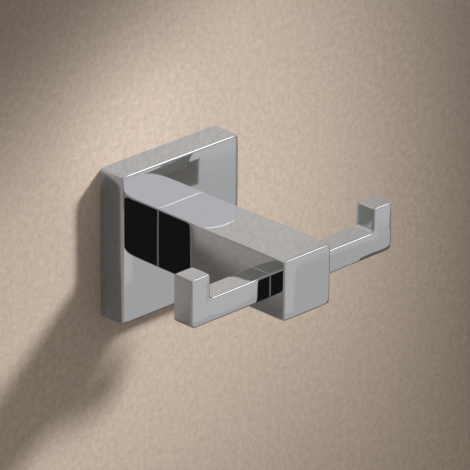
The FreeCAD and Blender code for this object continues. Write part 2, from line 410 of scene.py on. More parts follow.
def floor_paint(name, base_colour):
    """Plain matt floor paint with a faint roller mottle, pale to the camera itself."""
    matt = (0.75, 0.95)
    pale_share = (0.0, 0.8)
    material, tree = new_material(name)
    mottle = noise(tree, object_place(tree), 1 / (12 * MM))
    paint = add_node(tree, "BsdfPrincipled", {
        "Base Color": base_colour, "Roughness": remap(tree, mottle, WHOLE, matt),
    })
    pale = add_node(tree, "Emission", {"Color": base_colour, "Strength": 1.0})
    seen = add_node(tree, "LightPath").outputs["Is Camera Ray"]
    show(tree, mixed(tree, remap(tree, seen, WHOLE, pale_share), paint, pale))
    return material


def glowing_cloth(name, low, high, heights):
    """A sheet that gives soft light, low in one shade and high in another."""
    weave_levels = (0.93, 1.07)
    material, tree = new_material(name)
    place = object_place(tree)
    rise = eased(tree, along, place, ((0.0, 0.0, 1.0), heights, WHOLE))
    weave = noise(tree, place, 1 / (4 * MM), 8.0, 0.8)
    show(tree, add_node(tree, "Emission", {
        "Color": blend(tree, rise, low, high),
        "Strength": remap(tree, weave, NOISE_SPAN, weave_levels),
    }))
    return material


def two_sided_flag(name, grey, black):
    """A soft grey glowing card, painted black as shade to rays that met the metal twice."""
    material, tree = new_material(name)
    bounces = add_node(tree, "LightPath").outputs["Glossy Depth"]
    twice = add_node(tree, "Math", {"operation": "GREATER_THAN", 0: bounces, 1: 1.5})
    shade = blend(tree, twice.outputs["Value"], grey, black)
    show(tree, add_node(tree, "Emission", {"Color": shade, "Strength": 1.0}))
    return material


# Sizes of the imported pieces, in millimetres

BASE_HALF = 25.0
BASE_FRONT = -10.0
CAVITY_FRONT = -7.5
CAVITY_HALF = 22.5
CAVITY_ROUND = 1.0
ARM_HALF = 10.0
ARM_FRONT = -65.0
BAR_FRONT = -59.0
BAR_BACK = -51.0
BAR_CENTRE = -55.0
BAR_HALF = 4.0
SPAN_HALF = 43.0
FINGER_TIP = 12.0
HOOK_INNER_ROUND = 1.2
HOOK_OUTER_ROUND = 1.6
TENON_HALF = 5.0
TENON_BACK = -8.0
FIT_GAP = 0.05
TAPPED_RADIUS = 3.05
TAPPED_END = -18.4
SPIGOT_HALF = 2.5
SPIGOT_END = 3.0
SPIGOT_LEAD = 0.4
MORTISE_END = 2.7
SET_SCREW_HOLE = 2.05
SET_SCREW_Y = -4.5

# How finely the pieces are cut, in millimetres

ROUND_STEPS = 6
SEAM_STEPS = 4
GRADED = (0.06, 0.35, 0.8, 1.4, 2.2, 3.2, 4.6, 6.4)
BASE_CUTS = (10.0, 14.0)
ARM_CUTS = (-45.0, -38.0, -31.0, -24.0, -17.0)
BAR_CUTS = (14.0, 18.0, 22.0, 26.0, 30.0, 33.0)
WINDOW_HALF_X = 3.2
WINDOW_HALF_Y = 2.3
WINDOW_STEPS = 32
SKIN = 1.0  # how deep a chromed piece's outer skin is taken to be
ALMOST = 1e-3
MERGE = 1e-4
SHADING_ANGLE = math.radians(35)
HARD_ANGLE = math.radians(40)


# Shaping

def mesh_object(name, mesh_data, material):
    """Links a mesh with one material to the scene."""
    piece = bpy.data.objects.new(name, mesh_data)
    bpy.context.scene.collection.objects.link(piece)
    piece.data.materials.append(material)
    return piece


def to_mesh(bm, name, scale=1.0):
    """Turns a bmesh into a smooth mesh with hard seams, scaled to metres, and frees it."""
    bm.transform(Matrix.Scale(scale, 4))
    bm.normal_update()
    for face in bm.faces:
        face.smooth = True
    for edge in bm.edges:
        edge.smooth = edge.calc_face_angle(0.0) < SHADING_ANGLE
    mesh_data = bpy.data.meshes.new(name)
    bm.to_mesh(mesh_data)
    bm.free()
    return mesh_data


def finished_piece(name, bm, material, node):
    """Makes a piece from a bmesh in millimetres that stands for a node."""
    weld(bm)
    piece = mesh_object(name, to_mesh(bm, name, MM), material)
    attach(piece, BODY)
    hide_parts(node)
    return piece


def weld(bm, distance=MERGE):
    """Merges vertices that lie together and turns the faces outwards."""
    ops.remove_doubles(bm, verts=bm.verts, dist=distance)
    ops.recalc_face_normals(bm, faces=bm.faces)


def coat(node, material):
    """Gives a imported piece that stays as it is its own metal."""
    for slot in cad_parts[node].material_slots:
        slot.material = material


def block(bm, *ranges):
    """Adds a block from its range on each axis and returns its vertices."""
    size = Vector([high - low for low, high in ranges])
    middle = Vector([(high + low) / 2 for low, high in ranges])
    matrix = Matrix.LocRotScale(middle, None, size)
    return ops.create_cube(bm, size=1.0, matrix=matrix)["verts"]


def lies_on(element, axis, value):
    """Whether all of an element's vertices have that value on that axis."""
    return all(abs(vert.co[axis] - value) < ALMOST for vert in element.verts)


def round_edges(bm, edges, radius, steps=ROUND_STEPS):
    """Rounds edges with a radius, or chamfers them where steps is one."""
    ops.bevel(
        bm, geom=list(edges), offset=radius, offset_type="OFFSET", affect="EDGES",
        segments=steps, profile=0.5, material=-1, clamp_overlap=False,
    )


def hard_edges(bm, axis, value, on=True):
    """The edges that turn sharply, either on a plane across an axis or off it."""
    bm.normal_update()
    edges = [edge for edge in bm.edges if edge.calc_face_angle(0.0) > HARD_ANGLE]
    return [edge for edge in edges if lies_on(edge, axis, value) == on]


def split(bm, point, normal, clear=False):
    """Cuts the mesh with a plane, and can clear what lies beyond it."""
    geometry = bm.verts[:] + bm.edges[:] + bm.faces[:]
    ops.bisect_plane(
        bm, geom=geometry, dist=MERGE, plane_co=point, plane_no=normal, clear_outer=clear
    )


def cut(bm, axis, places):
    """Cuts the mesh with planes across an axis."""
    normal = Vector([float(index == axis) for index in range(3)])
    for place in places:
        split(bm, normal * place, normal)


def of_kind(items, kind):
    """The vertices or edges among what an operation made."""
    return [item for item in items if isinstance(item, kind)]


def push_rim(bm, edges, move):
    """Extrudes open edges by a vector and returns the new vertices and edges."""
    made = ops.extrude_edge_only(bm, edges=edges)["geom"]
    verts = of_kind(made, bmesh.types.BMVert)
    ops.translate(bm, verts=verts, vec=move)
    return verts, of_kind(made, bmesh.types.BMEdge)


def graded(edge, inward, first, steps=GRADED):
    """Places for cuts, close together near an edge and wider apart further in."""
    return [edge + inward * (first + step) for step in steps]


def faces_in(bm, axis, value, first, second):
    """The faces on a plane whose middles lie within two ranges on the other axes."""
    ranges = [first, second]
    ranges.insert(axis, (value - ALMOST, value + ALMOST))
    def within(place):
        return all(low < part < high for part, (low, high) in zip(place, ranges))
    found = [face for face in bm.faces if lies_on(face, axis, value)]
    return [face for face in found if within(face.calc_center_median())]


def rim_of(faces):
    """The edges round a set of faces."""
    faces = set(faces)
    edges = {edge for face in faces for edge in face.edges}
    return [edge for edge in edges if sum(face in faces for face in edge.link_faces) == 1]


def open_up(bm, faces):
    """Deletes faces and returns the edges round the hole."""
    rim = rim_of(faces)
    ops.delete(bm, geom=list(faces), context="FACES")
    return [edge for edge in rim if edge.is_valid]


def push(bm, faces, move):
    """Extrudes faces by a vector and returns the vertices at the new end."""
    within = {edge for face in faces for edge in face.edges} - set(rim_of(faces))
    made = ops.extrude_face_region(bm, geom=list(faces))["geom"]
    verts = of_kind(made, bmesh.types.BMVert)
    ops.translate(bm, vec=move, verts=verts)
    left = [face for face in faces if face.is_valid]
    ops.delete(bm, geom=left, context="FACES_ONLY")
    loose = [edge for edge in within if edge.is_valid and not edge.link_faces]
    ops.delete(bm, geom=loose, context="EDGES")
    return verts


def standing(direction, place):
    """The matrix that turns +Z to a direction and moves the origin to a place."""
    turn = Vector((0, 0, 1)).rotation_difference(Vector(direction))
    return Matrix.Translation(place) @ turn.to_matrix().to_4x4()


def round_window(bm, faces, centre, axis, radius):
    """Puts a round window into flat faces and returns its rim."""
    outside = open_up(bm, faces)
    matrix = standing(axis, centre)
    made = ops.create_circle(bm, segments=WINDOW_STEPS, radius=radius, matrix=matrix)
    circle = list({edge for vert in made["verts"] for edge in vert.link_edges})
    ops.triangle_fill(bm, edges=outside + circle, normal=axis, use_beauty=True)
    return circle


def lines_of(edges):
    """The two ends of each edge."""
    return [(edge.verts[0].co.copy(), edge.verts[1].co.copy()) for edge in edges]


def soften(bm, lines, wear, centre, keep_plane, outside):
    """Lets polished faces fall away towards their edges, as buffing leaves them.

    Each vertex that passes the outside test sinks along its normal and stays on the plane
    that is kept. The wear, in metres, is the depth at a line, the reach over which that
    fades, the depth of a slow crown across the piece, and half the piece's width.
    """
    weld(bm)
    bm.normal_update()
    axis, value = keep_plane
    depth, reach, crown, half = [part / MM for part in wear]
    moves = []
    for vert in bm.verts:
        if not outside(vert.co):
            continue
        normal = vert.normal.copy()
        if abs(vert.co[axis] - value) < ALMOST:
            normal[axis] = 0.0
            normal.normalize()
        sink = 0.0
        for start, end in lines:
            span = end - start
            share = (vert.co - start).dot(span) / span.length_squared
            nearest = start + span * max(0.0, min(1.0, share))
            sink += depth * math.exp(-(vert.co - nearest).length / reach)
        for index in {0, 1, 2} - {axis}:
            part = (vert.co[index] - centre[index]) / half
            sink += crown * part * part * (1 - normal[index] ** 2)
        moves.append((vert, normal * sink))
    for vert, move in moves:
        vert.co -= move


# The chromed pieces

def base_cover_mesh(shape):
    """The cast cover: rounded front, hollow back, a tenon hole and a set screw's hole."""
    bm = bmesh.new()
    half = BASE_HALF
    block(bm, (-half, half), (BASE_FRONT, 0), (-half, half))
    outer = hard_edges(bm, 1, 0, on=False)
    lines = lines_of(outer)
    round_edges(bm, outer, shape.base_round / MM)
    width = (-CAVITY_HALF, CAVITY_HALF)
    cavity = block(bm, width, (CAVITY_FRONT, 0), width)
    inner = list({edge for vert in cavity for edge in vert.link_edges})
    upright = [edge for edge in inner if abs(edge.verts[0].co.y - edge.verts[1].co.y) > 1]
    faces = list({face for vert in cavity for face in vert.link_faces})
    ops.reverse_faces(bm, faces=faces)
    round_edges(bm, upright, CAVITY_ROUND)
    back = [face for face in bm.faces if lies_on(face, 1, 0)]
    ops.bridge_loops(bm, edges=open_up(bm, back))
    start = shape.base_round / MM
    hole = TENON_HALF + FIT_GAP
    for axis in (0, 2):
        for side in (-1, 1):
            cut(bm, axis, graded(side * half, -side, start))
            cut(bm, axis, [side * place for place in (hole, *BASE_CUTS)])
    cut(bm, 1, graded(BASE_FRONT, 1, start, GRADED[:6]))
    window = (SET_SCREW_Y - WINDOW_HALF_Y, SET_SCREW_Y + WINDOW_HALF_Y)
    cut(bm, 1, window)
    window_x = (-WINDOW_HALF_X, WINDOW_HALF_X)
    cut(bm, 0, window_x)
    for level in (BASE_FRONT, CAVITY_FRONT):
        open_up(bm, faces_in(bm, 1, level, (-hole, hole), (-hole, hole)))
    ops.bridge_loops(bm, edges=[edge for edge in bm.edges if edge.is_boundary])
    faces = faces_in(bm, 2, -half, window_x, window)
    place, up = (0.0, SET_SCREW_Y, -half), (0, 0, 1)
    circle = round_window(bm, faces, place, up, SET_SCREW_HOLE)
    made = push_rim(bm, circle, (0, 0, half - CAVITY_HALF))[1]
    faces = faces_in(bm, 2, -CAVITY_HALF, window_x, window)
    edges = open_up(bm, faces) + [edge for edge in made if edge.is_boundary]
    ops.triangle_fill(bm, edges=edges, normal=up, use_beauty=True)
    def outside(place):
        across = math.hypot(place.x, place.y - SET_SCREW_Y)
        if abs(across - SET_SCREW_HOLE) < FIT_GAP:
            return False
        beside = max(abs(place.x), abs(place.z)) > CAVITY_HALF + SKIN
        return beside or place.y < CAVITY_FRONT - SKIN
    wear = (shape.edge_fall, shape.edge_reach, shape.crown, half * MM)
    soften(bm, lines, wear, Vector(), (1, 0.0), outside)
    return bm


def arm_mesh(shape):
    """The arm: rounded front, a seam chamfer, tenon, tapped hole and two mortises."""
    bm = bmesh.new()
    half = ARM_HALF
    block(bm, (-half, half), (ARM_FRONT, BASE_FRONT), (-half, half))
    outer = hard_edges(bm, 1, BASE_FRONT, on=False)
    lines = lines_of(outer)
    start = shape.arm_round / MM
    round_edges(bm, outer, start)
    round_edges(bm, hard_edges(bm, 1, BASE_FRONT), shape.seam / MM, SEAM_STEPS)
    mortise = SPIGOT_HALF + FIT_GAP
    level = (BAR_CENTRE - mortise, BAR_CENTRE + mortise)
    height = (-mortise, mortise)
    for axis in (0, 2):
        for side in (-1, 1):
            cut(bm, axis, graded(side * half, -side, start, GRADED[:7]))
            cut(bm, axis, [side * TENON_HALF])
    cut(bm, 2, height)
    cut(bm, 1, graded(ARM_FRONT, 1, start))
    cut(bm, 1, graded(BASE_FRONT, -1, shape.seam / MM, GRADED[:2]))
    cut(bm, 1, (*level, *ARM_CUTS))
    tenon = (-TENON_HALF, TENON_HALF)
    push(bm, faces_in(bm, 1, BASE_FRONT, tenon, tenon), (0, TENON_BACK - BASE_FRONT, 0))
    end = faces_in(bm, 1, TENON_BACK, tenon, tenon)
    end = round_window(bm, end, (0, TENON_BACK, 0), (0, 1, 0), TAPPED_RADIUS)
    end = push_rim(bm, end, (0, TAPPED_END - TENON_BACK, 0))[1]
    tip = push_rim(bm, end, (0, -TAPPED_RADIUS / math.sqrt(3), 0))[0]
    ops.scale(bm, verts=tip, vec=(MERGE / 2, 1.0, MERGE / 2))
    weld(bm, ALMOST)
    for side in (-1, 1):
        faces = faces_in(bm, 0, side * half, level, height)
        push(bm, faces, (side * (MORTISE_END - half), 0, 0))
    def outside(place):
        beside = max(abs(place.x), abs(place.z)) > half - SKIN
        return (beside or place.y < ARM_FRONT + SKIN) and place.y < BASE_FRONT + ALMOST
    wear = (shape.arm_fall, shape.arm_reach, shape.arm_crown, half * MM)
    soften(bm, lines, wear, Vector(), (1, BASE_FRONT), outside)
    return bm


def hook_mesh(shape, side):
    """One hook: a square bar bent upwards at its end, with a spigot for the arm."""
    bm = bmesh.new()
    inside = SPAN_HALF - 2 * BAR_HALF
    block(bm, (ARM_HALF, inside), (BAR_FRONT, BAR_BACK), (-BAR_HALF, BAR_HALF))
    end = [face for face in bm.faces if lies_on(face, 0, inside)]
    push(bm, end, (2 * BAR_HALF, 0, 0))
    top = faces_in(bm, 2, BAR_HALF, (inside, SPAN_HALF), (BAR_FRONT, BAR_BACK))
    push(bm, top, (0, 0, FINGER_TIP - BAR_HALF))
    def bend(x, z):
        return [edge for edge in bm.edges if lies_on(edge, 0, x) and lies_on(edge, 2, z)]
    outer = hard_edges(bm, 0, ARM_HALF, on=False)
    inner = bend(inside, BAR_HALF)
    lines = lines_of(edge for edge in outer if edge not in inner)
    round_edges(bm, inner, HOOK_INNER_ROUND)
    round_edges(bm, bend(SPAN_HALF, -BAR_HALF), HOOK_OUTER_ROUND)
    start = shape.bar_round / MM
    round_edges(bm, hard_edges(bm, 0, ARM_HALF, on=False), start)
    round_edges(bm, hard_edges(bm, 0, ARM_HALF), shape.seam / MM, SEAM_STEPS)
    for axis, place, inward in (
        (1, BAR_FRONT, 1), (1, BAR_BACK, -1), (2, -BAR_HALF, 1), (2, BAR_HALF, -1),
        (2, FINGER_TIP, -1), (0, SPAN_HALF, -1), (0, inside, 1),
    ):
        cut(bm, axis, graded(place, inward, start, GRADED[:5]))
    cut(bm, 0, graded(ARM_HALF, 1, shape.seam / MM, GRADED[:2]))
    cut(bm, 0, BAR_CUTS)
    level = (BAR_CENTRE - SPIGOT_HALF, BAR_CENTRE + SPIGOT_HALF)
    height = (-SPIGOT_HALF, SPIGOT_HALF)
    cut(bm, 1, level)
    cut(bm, 2, height)
    push(bm, faces_in(bm, 0, ARM_HALF, level, height), (SPIGOT_END - ARM_HALF, 0, 0))
    round_edges(bm, hard_edges(bm, 0, SPIGOT_END), SPIGOT_LEAD, 1)
    def outside(place):
        return place.x > ARM_HALF - ALMOST
    wear = (shape.bar_fall, shape.bar_reach, shape.bar_crown, BAR_HALF * MM)
    soften(bm, lines, wear, Vector((0, BAR_CENTRE, 0)), (0, ARM_HALF), outside)
    if side < 0:
        bm.transform(Matrix.Diagonal((-1, 1, 1, 1)))
    return bm


# The fasteners behind the base

ARM_SCREW_SEAT = -4.4
BRACKET_FACE = -2.0
WALL_SCREW_X = 14.0
SET_SCREW_TOP = -20.5

# Radius, straight rim and height of each domed head, and its broken lower edge
WALL_HEAD, WALL_TRIM = (4.0, 0.7, 2.8), 0.08
ARM_HEAD, ARM_TRIM = (5.25, 0.8, 3.3), 0.1
# Root and crest radius of each thread
WALL_THREAD = (1.35, 2.0)
ARM_THREAD = (2.45, 3.0)
SET_THREAD = (1.62, 1.97)
# Where each thread starts and ends from under the head, and the neck above it
WALL_SHANK, WALL_END, WALL_NECK = -2.3, -30.0, 1.6
ARM_SHANK, ARM_END, ARM_NECK = -1.2, -12.0, 2.4
# Height where the wood screw tapers and the radius of its point
WALL_POINT = (-25.0, 0.18)
# Radius and height of the arm screw's trimmed end
ARM_POINT = (2.4, 0.6)
# Half the width and half the span of the cross recess
CROSS = (0.55, 2.3)
# Depth of each recess, and the share by which its walls lean in
CROSS_FLOOR = (1.5, 0.6)
ARM_FLOOR = (2.0, 0.98)
SET_FLOOR = (1.8, 0.98)
ARM_HEXAGON = 4.0
SET_HEXAGON = 2.0
HEAD_LOW = 1.0  # a recess cuts no faces that lie lower
SET_LOW = 3.9
# The set screw's flat top and its cone, as radius and height pairs
SET_TOP = ((0.0, 4.0), (1.2, 4.0), (1.68, 4.0), (1.95, 3.75))
SET_CONE = ((1.62, 0.8), (1.2, 0.12), (1.08, 0.0), (0.0, 0.0))
# One pitch of a thread: where its root and crest lie, 0 for the root and 1 for the crest
THREAD_SECTION = ((0, 0.0), (0, 0.18), (1, 0.46), (1, 0.54), (0, 0.82), (0, 1.0))
SPIN_STEPS = 48
DOME_STEPS = 7
UPWARD = 0.3  # least height of a normal on the top of a head


def spin(bm, outline, turns=1, drop=0.0):
    """Spins an outline of radius and height pairs about Z, dropping at each step."""
    verts = [bm.verts.new((radius, 0.0, height)) for radius, height in outline]
    edges = [bm.edges.new(pair) for pair in zip(verts, verts[1:])]
    ops.spin(
        bm, geom=verts + edges, cent=(0, 0, 0), axis=(0, 0, 1), dvec=(0, 0, -drop),
        angle=math.tau * turns, steps=SPIN_STEPS * turns, use_merge=drop == 0.0,
    )
    weld(bm, ALMOST)


def thread(bm, radii, pitch, top, bottom, point=None):
    """A helical thread down Z, spun from one pitch of its section and cut off square.

    The point is the height where a wood screw starts to taper and the radius at its end.
    """
    outline = [(radii[side], top + (2.0 - part) * pitch) for side, part in THREAD_SECTION]
    turns = math.ceil((top - bottom) / pitch) + 3
    spin(bm, outline, turns, pitch / SPIN_STEPS)
    if point:
        start, radius = point
        for vert in bm.verts:
            if vert.co.z < start:
                share = min(1.0, (start - vert.co.z) / (start - bottom))
                shrink = 1.0 + (radius / radii[0] - 1.0) * share
                vert.co.xy *= shrink
    for height, direction in ((top, 1.0), (bottom, -1.0)):
        split(bm, (0, 0, height), (0, 0, direction), clear=True)


def rims_at(bm, height):
    """The open edges that lie at a height."""
    return [edge for edge in bm.edges if edge.is_boundary and lies_on(edge, 2, height)]


def sink_shape(bm, height, low, floor, planes, inside):
    """Sinks the part of a top above the low that lies inside upright planes to a floor.

    Planes are pairs of an angle and a distance from the axis. The floor is a depth and
    the share by which the walls lean in.
    """
    for angle, distance in planes:
        normal = Vector((math.cos(angle), math.sin(angle), 0.0))
        geometry = [face for face in bm.faces if face.calc_center_median().z > low]
        geometry += list({edge for face in geometry for edge in face.edges})
        edges = of_kind(geometry, bmesh.types.BMEdge)
        geometry += list({vert for edge in edges for vert in edge.verts})
        ops.bisect_plane(
            bm, geom=geometry, dist=MERGE, plane_co=normal * distance, plane_no=normal
        )
    bm.normal_update()
    tops = [face for face in bm.faces if face.normal.z > UPWARD]
    middles = [(face, face.calc_center_median()) for face in tops]
    faces = [face for face, middle in middles if middle.z > low and inside(middle)]
    verts = push(bm, faces, (0, 0, 0))
    depth, lean = floor
    for vert in verts:
        vert.co.z = height - depth
        vert.co.xy *= lean


def dome(radius, rim, height):
    """Radius and height pairs of a round cap on a straight rim, from its middle out."""
    rise = height - rim
    sphere = (radius ** 2 + rise ** 2) / (2 * rise)
    reach = math.asin(radius / sphere)
    angles = [reach * step / DOME_STEPS for step in range(DOME_STEPS + 1)]
    drop = height - sphere
    return [(sphere * math.sin(angle), drop + sphere * math.cos(angle)) for angle in angles]


def join_shell(bm, other, height):
    """Adds another bmesh, frees it and bridges the rims that both have at a height."""
    keeper = bpy.data.meshes.new("shell")
    other.to_mesh(keeper)
    other.free()
    bm.from_mesh(keeper)
    bpy.data.meshes.remove(keeper)
    ops.recalc_face_normals(bm, faces=bm.faces)
    ops.bridge_loops(bm, edges=rims_at(bm, height))


def domed_head(head, trim, neck, shank):
    """A screw's domed head with a broken lower edge and the plain neck below it."""
    bm = bmesh.new()
    radius = head[0]
    lower = [(radius, trim), (radius - trim, 0.0), (neck, 0.0), (neck, shank)]
    spin(bm, dome(*head) + lower)
    return bm


def wall_screw_mesh(shape, side):
    """A wood screw with a cross recess in its domed head and a coarse thread."""
    bm = domed_head(WALL_HEAD, WALL_TRIM, WALL_NECK, WALL_SHANK)
    wide, span = CROSS
    reaches = (-span, -wide, wide, span)
    planes = [(angle, reach) for angle in (0.0, math.pi / 2) for reach in reaches]
    def in_cross(place):
        along, across = sorted((abs(place.x), abs(place.y)), reverse=True)
        return along < span and across < wide
    sink_shape(bm, WALL_HEAD[2], HEAD_LOW, CROSS_FLOOR, planes, in_cross)
    screw = bmesh.new()
    thread(screw, WALL_THREAD, shape.wall_pitch / MM, WALL_SHANK, WALL_END, WALL_POINT)
    ops.holes_fill(screw, edges=rims_at(screw, WALL_END))
    join_shell(bm, screw, WALL_SHANK)
    bm.transform(standing((0, -1, 0), (side * WALL_SCREW_X, BRACKET_FACE, 0)))
    return bm


def in_hexagon(across):
    """The planes of a hexagon that wide across its flats, and a test for inside it."""
    planes = [(math.radians(30 + 60 * step), across / 2) for step in range(6)]
    def inside(place):
        return all(
            place.x * math.cos(angle) + place.y * math.sin(angle) < reach
            for angle, reach in planes
        )
    return planes, inside


def trim_point(bm, crest, end, radius, height):
    """Turns the end of a machine thread down to a short cone."""
    for vert in bm.verts:
        across = math.hypot(vert.co.x, vert.co.y)
        limit = radius + max(0.0, vert.co.z - end) * (crest - radius) / height
        if vert.co.z < end + 2 * height and across > limit:
            vert.co.xy *= limit / across


def arm_screw_mesh(shape):
    """The button-headed machine screw with a hexagon socket and a metric thread."""
    bm = domed_head(ARM_HEAD, ARM_TRIM, ARM_NECK, ARM_SHANK)
    sink_shape(bm, ARM_HEAD[2], HEAD_LOW, ARM_FLOOR, *in_hexagon(ARM_HEXAGON))
    screw = bmesh.new()
    thread(screw, ARM_THREAD, shape.arm_screw_pitch / MM, ARM_SHANK, ARM_END)
    trim_point(screw, ARM_THREAD[1], ARM_END, *ARM_POINT)
    ops.holes_fill(screw, edges=rims_at(screw, ARM_END))
    join_shell(bm, screw, ARM_SHANK)
    bm.transform(standing((0, 1, 0), (0, ARM_SCREW_SEAT, 0)))
    return bm


def set_screw_mesh(shape):
    """The headless set screw with a hexagon socket and a cone point."""
    bm = bmesh.new()
    spin(bm, SET_TOP)
    top, bottom = SET_TOP[-1][1], SET_CONE[0][1]
    sink_shape(bm, SET_TOP[0][1], SET_LOW, SET_FLOOR, *in_hexagon(SET_HEXAGON))
    screw = bmesh.new()
    thread(screw, SET_THREAD, shape.set_screw_pitch / MM, top, bottom)
    join_shell(bm, screw, top)
    cone = bmesh.new()
    spin(cone, SET_CONE)
    join_shell(bm, cone, bottom)
    bm.transform(standing((0, 0, -1), (0, SET_SCREW_Y, SET_SCREW_TOP)))
    return bm


# Stage

CAMERA_AZIMUTH = math.radians(-44.72)
CAMERA_ELEVATION = math.radians(23.97)
CAMERA_ROLL = math.radians(0.50)
CAMERA_DISTANCE = 1626.6 * MM
CAMERA_LENS_MM = 405.5
CAMERA_SENSOR_MM = 36.0
CAMERA_CLIP = (0.1, 20.0)
CAMERA_TARGET = Vector((3.62, -30.0, 3.53)) * MM

# Wall and floor, and the cards that light the metal, in metres
WALL_WIDTH, WALL_TOP, WALL_HOLE = 2.4, 1.2, 22 * MM
FLOOR_HALF, FLOOR_HEIGHT = 3.0, -0.8
# Each card's width, low and high edge, distance from the object, azimuth and shift aside
BLACK_FLAG = (0.40, -0.78, 0.02, 0.75, -43.1)
# Glowing cards: name, cloth, its low and high shade, the heights where it turns, and size
CLOTHS = (
    ("side_panel", "diffusing_cloth", "cloth_low", "cloth_high", (-0.322, -0.285),
     (0.377, -0.50, -0.05, 0.78, 36.9)),
    ("near_panel", "near_cloth", "cloth_near", "cloth_high", (-0.322, -0.285),
     (0.2, -0.346, -0.05, 0.72, 32.9)),
    ("dark_scrap", "dark_cloth", "cloth_dark", "cloth_dark_high", (-0.025, -0.017),
     (0.024, -0.0257, -0.0146, 0.075, 0.0, 0.0588)),
)

LAMP_PLACE = Vector((0.768, -0.678, 0.63))
LAMP_TARGET = Vector((0.008, 0.0, 0.0))
LAMP_RADIUS = 0.11


def make_camera():
    """The camera at the photograph's angle, from a fit to the object's corners."""
    level = Vector((math.cos(CAMERA_AZIMUTH), math.sin(CAMERA_AZIMUTH), 0.0))
    ahead = Vector((math.sin(CAMERA_AZIMUTH), -math.cos(CAMERA_AZIMUTH), 0.0))
    back = math.cos(CAMERA_ELEVATION) * ahead
    back.z = math.sin(CAMERA_ELEVATION)
    right = math.cos(CAMERA_ROLL) * level + math.sin(CAMERA_ROLL) * back.cross(level)
    up = back.cross(right)
    camera_data = bpy.data.cameras.new("photo_camera")
    camera_data.lens = CAMERA_LENS_MM
    camera_data.sensor_width = CAMERA_SENSOR_MM
    camera_data.clip_start, camera_data.clip_end = CAMERA_CLIP
    camera = bpy.data.objects.new("photo_camera", camera_data)
    bpy.context.scene.collection.objects.link(camera)
    turn = Matrix((right, up, back)).transposed().to_4x4()
    camera.matrix_world = Matrix.Translation(CAMERA_TARGET + back * CAMERA_DISTANCE) @ turn
    bpy.context.scene.camera = camera


def upright_sheet(width, low, high, place):
    """An upright sheet in the XZ plane, shifted to a place."""
    bm = bmesh.new()
    ops.create_grid(bm, x_segments=1, y_segments=1, size=0.5)
    ops.rotate(bm, verts=bm.verts, matrix=Matrix.Rotation(math.radians(90), 3, "X"))
    ops.scale(bm, verts=bm.verts, vec=(width, 1.0, high - low))
    ops.translate(bm, verts=bm.verts, vec=(*place, (high + low) / 2))
    return bm


def wall_sheet():
    """The wall, which faces the room and has a square hole behind the base."""
    bm = upright_sheet(WALL_WIDTH, FLOOR_HEIGHT, WALL_TOP, (0.0, 0.0))
    hole = (-WALL_HOLE, WALL_HOLE)
    for axis in (0, 2):
        cut(bm, axis, hole)
    open_up(bm, faces_in(bm, 1, 0.0, hole, hole))
    bm.normal_update()
    if any(face.normal.y > 0 for face in bm.faces):
        ops.reverse_faces(bm, faces=bm.faces)
    return bm


def upright_card(name, material, width, low, high, distance, azimuth, aside=0.0):
    """An upright sheet that faces the object, unseen by the camera itself."""
    bm = upright_sheet(width, low, high, (aside, -distance))
    bm.transform(Matrix.Rotation(math.radians(azimuth), 4, "Z"))
    card = mesh_object(name, to_mesh(bm, name), material)
    card.visible_camera = False
    return card


STUDIO_BASE = "#6E6A66"
STUDIO_FOR_CAMERA = "#D8D2CA"
# Soft patches of the studio in the chrome: direction, inner and outer angle, colour, power
STUDIO_PATCHES = (
    ((0.0, 0.0, 1.0), 25, 80, "#9A9692", 1.0),
    ((0.0, 0.0, -1.0), 30, 75, "#5C5853", 1.0),
    ((1.0, 0.0, 0.05), 12, 24, "#94918E", 1.0),
    ((-1.0, -0.1, -0.2), 15, 40, "#8A8783", 1.0),
    ((0.0, -1.0, -0.35), 8, 25, "#94928F", 1.0),
    ((0.643, -0.649, 0.30), 22, 50, "#C7C3C3", 1.0),
    ((0.643, -0.649, -0.406), 25, 45, "#8E8C8A", 1.0),
    ((0.0, -1.0, 0.05), 10, 22, "#ABAAA9", 1.0),
    ((0.9, -0.2, -0.45), 13, 24, "#453D37", 1.0),
    ((0.643, -0.1, -0.76), 14, 34, "#2A2119", 1.0),
    ((0.643, -0.45, 0.62), 4, 9, "#FFFFFF", 2.6),
    ((-0.643, -0.649, -0.406), 14, 35, "#8A8680", 1.0),
    ((-0.643, -0.649, 0.406), 9, 20, "#8C8987", 1.0),
    ((0.0, 1.0, 0.0), 60, 88, "#B8B6B2", 1.0),
)


def make_world():
    """A studio of soft patches for the metal, with a pale tone for the camera alone."""
    world = bpy.data.worlds.new("studio")
    bpy.context.scene.world = world
    world.use_nodes = True
    tree = world.node_tree
    tree.nodes.clear()
    place = add_node(tree, "TexCoord").outputs["Generated"]
    painted = linear(STUDIO_BASE)
    for direction, inner, outer, shade, power in STUDIO_PATCHES:
        direction = Vector(direction).normalized()
        angles = [math.cos(math.radians(angle)) for angle in (outer, inner)]
        patch = eased(tree, along, place, (direction, angles, WHOLE))
        shade = [power * part for part in linear(shade)]
        painted = blend(tree, patch, painted, shade)
    room = add_node(tree, "Background", {"Strength": 1.0, "Color": painted})
    pale = linear(STUDIO_FOR_CAMERA)
    pale = add_node(tree, "Background", {"Strength": 1.0, "Color": pale})
    seen = add_node(tree, "LightPath").outputs["Is Camera Ray"]
    show(tree, mixed(tree, seen, room, pale), "OutputWorld")


def make_key_lamp(stage):
    """The one lamp: a soft spot from the upper right that pools on the wall."""
    lamp_data = bpy.data.lights.new("key_lamp", "SPOT")
    lamp_data.shadow_soft_size = LAMP_RADIUS
    lamp_data.spot_size = stage.key_angle
    lamp_data.spot_blend = 1.0
    lamp_data.energy = stage.key_power
    lamp = bpy.data.objects.new("key_lamp", lamp_data)
    bpy.context.scene.collection.objects.link(lamp)
    lamp.location = LAMP_PLACE
    lamp.rotation_mode = "QUATERNION"
    lamp.rotation_quaternion = (LAMP_TARGET - LAMP_PLACE).to_track_quat("-Z", "Y")
    lamp.visible_glossy = False


# Operators, one for the stage and one for each piece or group of like pieces

